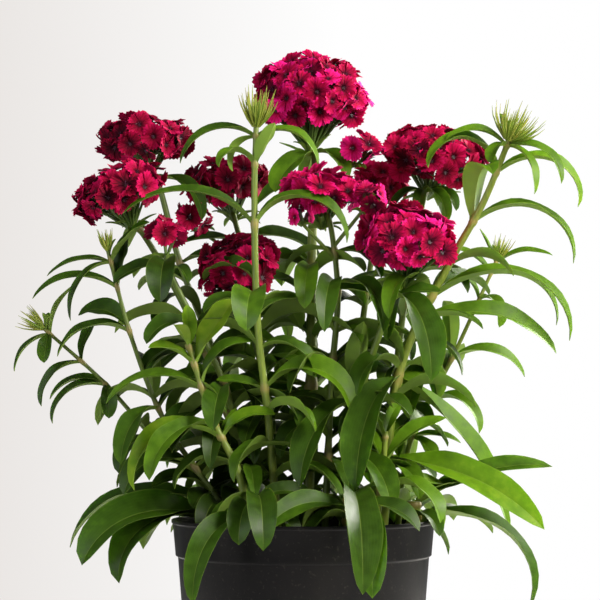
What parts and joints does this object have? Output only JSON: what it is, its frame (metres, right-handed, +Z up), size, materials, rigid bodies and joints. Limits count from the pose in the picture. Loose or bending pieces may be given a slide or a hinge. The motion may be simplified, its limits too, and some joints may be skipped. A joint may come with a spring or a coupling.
{
  "type": "potted dianthus plant",
  "caption": "Sweet william in a black nursery pot: jointed stems with opposite leaves, domed crimson and magenta flower heads and bristly bud tufts.",
  "frame": {"origin": "middle of the underside of the pot", "axes": "+Z up along the pot's axis, -Y to the front from which the plant is seen, +X to the right as seen from there"},
  "size_m": [0.3634, 0.2524, 0.4549],
  "materials": {
    "pot": "black moulded polypropylene with a soft shine",
    "soil": "moist peat and bark potting mix",
    "foliage_deep": "deep green waxy leaves, paler below",
    "foliage_bright": "young yellow-green stems and leaves",
    "petals_crimson": "velvety crimson petals with a dark eye",
    "petals_magenta": "velvety magenta petals with a dark eye"
  },
  "bodies": {
    "root": {"pot": "pot", "soil": "soil", "flowers_low_right": "petals_magenta", "flowers_centre": "petals_magenta", "flowers_centre_lower": "petals_magenta", "flowers_centre_right": "petals_magenta", "flowers_big": "petals_magenta", "flowers_big_side": "petals_magenta", "flowers_left_small": "petals_crimson", "flowers_low_left": "petals_crimson", "flowers_left": "petals_crimson", "flowers_right": "petals_crimson", "flowers_upper_left": "petals_crimson", "flowers_mid_left": "petals_crimson", "flowers_mid_left_side": "petals_crimson", "flowers_mid_right": "petals_crimson", "stem_tall_bud": "foliage_bright", "stem_left_shoot": "foliage_bright", "stem_right_tall": "foliage_bright", "stem_low_right_head": "foliage_deep", "stem_centre_head": "foliage_deep", "stem_big_head": "foliage_bright", "stem_left_small_head": "foliage_deep", "stem_low_left_head": "foliage_deep", "stem_left_head": "foliage_deep", "stem_right_head": "foliage_deep", "stem_left_upper_bud": "foliage_deep", "stem_left_low_bud": "foliage_deep", "stem_right_slender_bud": "foliage_bright", "stem_upper_left_head": "foliage_deep", "stem_mid_left_head": "foliage_deep", "stem_mid_right_head": "foliage_deep", "stem_right_shoot": "foliage_bright", "rosette_left": "foliage_deep", "rosette_front_left": "foliage_deep", "rosette_front_right": "foliage_deep", "rosette_right": "foliage_deep", "rosette_back_left": "foliage_deep", "rosette_back_right": "foliage_deep"}
  },
  "joints": []
}
